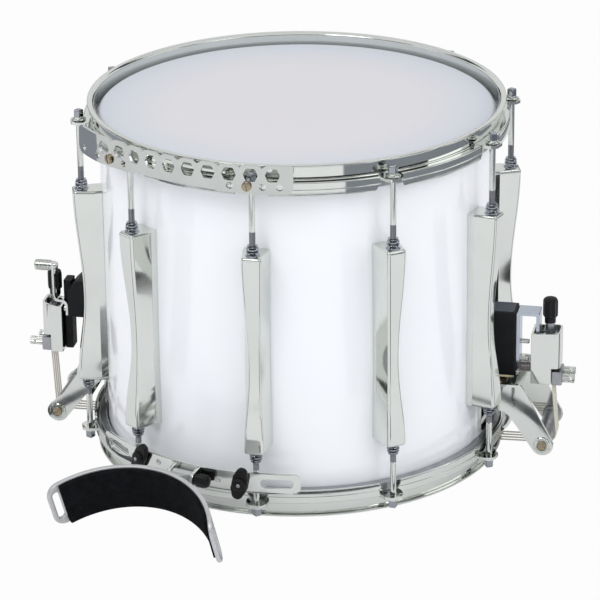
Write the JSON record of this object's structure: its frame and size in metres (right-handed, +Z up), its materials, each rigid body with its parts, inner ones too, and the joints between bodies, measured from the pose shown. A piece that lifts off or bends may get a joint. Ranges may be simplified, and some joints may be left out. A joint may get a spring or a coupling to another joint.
{
  "type": "marching snare drum",
  "caption": "Marching snare drum with chrome hoops, waisted lugs, a sling rail, lever throw-off and butt strainers, snares and a tilting knee rest.",
  "frame": {"origin": "centre of the batter head's playing surface, on the drum's axis", "axes": "+Z up along the drum's axis, out of the batter head; -Y towards the player's side, where the sling rail and knee rest are; +X to the right seen from there"},
  "size_m": [0.5003, 0.4993, 0.3311],
  "materials": {
    "shell_lacquer": "white gloss lacquer on ply",
    "head_coated": "coated off-white film",
    "head_clear": "clear film",
    "hoop_metal": "bright plated",
    "lug_chrome": "bright chrome plate on a casting",
    "rod_chrome": "bright chrome plate",
    "rail_chrome": "bright chrome plate",
    "screw_brass": "turned",
    "strainer_chrome": "bright chrome plate",
    "roller_steel": "turned",
    "snare_steel": "drawn wire with folded end plates",
    "block_black": "satin black",
    "knob_black": "fluted, satin black",
    "cord_ivory": "braided",
    "knee_metal": "satin",
    "knee_felt": "black felt over foam"
  },
  "bodies": {
    "drum": {"shell": "shell_lacquer", "batter_head": "head_coated", "snare_side_head": "head_clear", "batter_hoop": "hoop_metal", "snare_side_hoop": "hoop_metal", "lug_01": "lug_chrome", "lug_02": "lug_chrome", "lug_03": "lug_chrome", "lug_04": "lug_chrome", "lug_05": "lug_chrome", "lug_06": "lug_chrome", "lug_07": "lug_chrome", "lug_08": "lug_chrome", "lug_09": "lug_chrome", "lug_10": "lug_chrome", "top_rod_01": "rod_chrome", "top_rod_02": "rod_chrome", "top_rod_03": "rod_chrome", "top_rod_04": "rod_chrome", "top_rod_05": "rod_chrome", "top_rod_06": "rod_chrome", "top_rod_07": "rod_chrome", "top_rod_08": "rod_chrome", "top_rod_09": "rod_chrome", "top_rod_10": "rod_chrome", "bottom_rod_01": "rod_chrome", "bottom_rod_02": "rod_chrome", "bottom_rod_03": "rod_chrome", "bottom_rod_04": "rod_chrome", "bottom_rod_05": "rod_chrome", "bottom_rod_06": "rod_chrome", "bottom_rod_07": "rod_chrome", "bottom_rod_08": "rod_chrome", "bottom_rod_09": "rod_chrome", "bottom_rod_10": "rod_chrome", "sling_rail": "rail_chrome", "knee_rail": "rail_chrome", "sling_screw_left": "screw_brass", "sling_screw_right": "screw_brass", "throwoff_bracket": "strainer_chrome", "butt_bracket": "strainer_chrome", "butt_housing": "strainer_chrome", "snare_strands": "snare_steel", "throwoff_block": "block_black", "butt_block": "block_black", "cord_left": "cord_ivory", "cord_right": "cord_ivory"},
    "lever": {"throwoff_lever": "strainer_chrome"},
    "throwoff_tensioner": {"throwoff_housing": "strainer_chrome"},
    "throwoff_knob_body": {"throwoff_knob": "knob_black"},
    "throwoff_clamp_body": {"throwoff_clamp": "strainer_chrome"},
    "throwoff_roller_body": {"throwoff_roller": "roller_steel"},
    "butt_knob_body": {"butt_knob": "knob_black"},
    "butt_clamp_body": {"butt_clamp": "strainer_chrome"},
    "butt_roller_body": {"butt_roller": "roller_steel"},
    "knee_rest": {"knee_plate": "knee_metal", "knee_pad": "knee_felt"},
    "wing_left": {"wing_screw_left": "knob_black"},
    "wing_right": {"wing_screw_right": "knob_black"},
    "hinge_knob": {"knee_hinge_knob": "knob_black"}
  },
  "joints": [
    {"name": "throwoff_lever_swing", "type": "hinge", "parent": "drum", "child": "lever", "pos_m": [-0.21202, 0.0313, -0.206], "axis": [0.9799, -0.1994, 0], "range_deg": [0, 90]},
    {"name": "throwoff_housing_drop", "type": "slide", "parent": "drum", "child": "throwoff_tensioner", "axis": [0, 0, -1], "range_m": [0, 0.006], "deforming": ["cord_left"]},
    {"name": "throwoff_knob_turn", "type": "hinge", "parent": "throwoff_tensioner", "child": "throwoff_knob_body", "pos_m": [-0.22489, 0.04575, -0.197], "axis": [0, 0, 1], "range_deg": [-720, 720]},
    {"name": "throwoff_clamp_slide", "type": "slide", "parent": "throwoff_tensioner", "child": "throwoff_clamp_body", "axis": [0, 0, 1], "range_m": [-0.0016, 0.0016], "deforming": ["cord_left"]},
    {"name": "throwoff_roller_spin", "type": "hinge", "parent": "drum", "child": "throwoff_roller_body", "pos_m": [-0.21656, 0.04406, -0.299], "axis": [-0.1994, -0.9799, 0], "continuous": true},
    {"name": "butt_knob_turn", "type": "hinge", "parent": "drum", "child": "butt_knob_body", "pos_m": [0.22538, -0.04585, -0.193], "axis": [0, 0, 1], "range_deg": [-720, 720]},
    {"name": "butt_clamp_slide", "type": "slide", "parent": "drum", "child": "butt_clamp_body", "axis": [0, 0, 1], "range_m": [-0.0016, 0.0016], "deforming": ["cord_right"]},
    {"name": "butt_roller_spin", "type": "hinge", "parent": "drum", "child": "butt_roller_body", "pos_m": [0.2244, -0.04566, -0.298], "axis": [0.1994, 0.9799, 0], "continuous": true},
    {"name": "knee_rest_tilt", "type": "hinge", "parent": "drum", "child": "knee_rest", "pos_m": [-0.10242, -0.18103, -0.278], "axis": [-0.8704, 0.4924, 0], "range_deg": [0, 50]},
    {"name": "wing_screw_left_turn", "type": "hinge", "parent": "drum", "child": "wing_left", "pos_m": [-0.13868, -0.14411, -0.275], "axis": [-0.6934, -0.7206, 0], "continuous": true},
    {"name": "wing_screw_right_turn", "type": "hinge", "parent": "drum", "child": "wing_right", "pos_m": [-0.0521, -0.19309, -0.278], "axis": [-0.2605, -0.9655, 0], "continuous": true},
    {"name": "knee_hinge_knob_turn", "type": "hinge", "parent": "drum", "child": "hinge_knob", "pos_m": [-0.10242, -0.18103, -0.278], "axis": [0.8704, -0.4924, 0], "continuous": true}
  ],
  "couplings": [
    {"joint": "throwoff_lever_swing", "follows": "throwoff_housing_drop", "rad_per_m": 261.79},
    {"joint": "throwoff_knob_turn", "follows": "throwoff_clamp_slide", "rad_per_m": 7853.9},
    {"joint": "butt_knob_turn", "follows": "butt_clamp_slide", "rad_per_m": 7853.9}
  ]
}
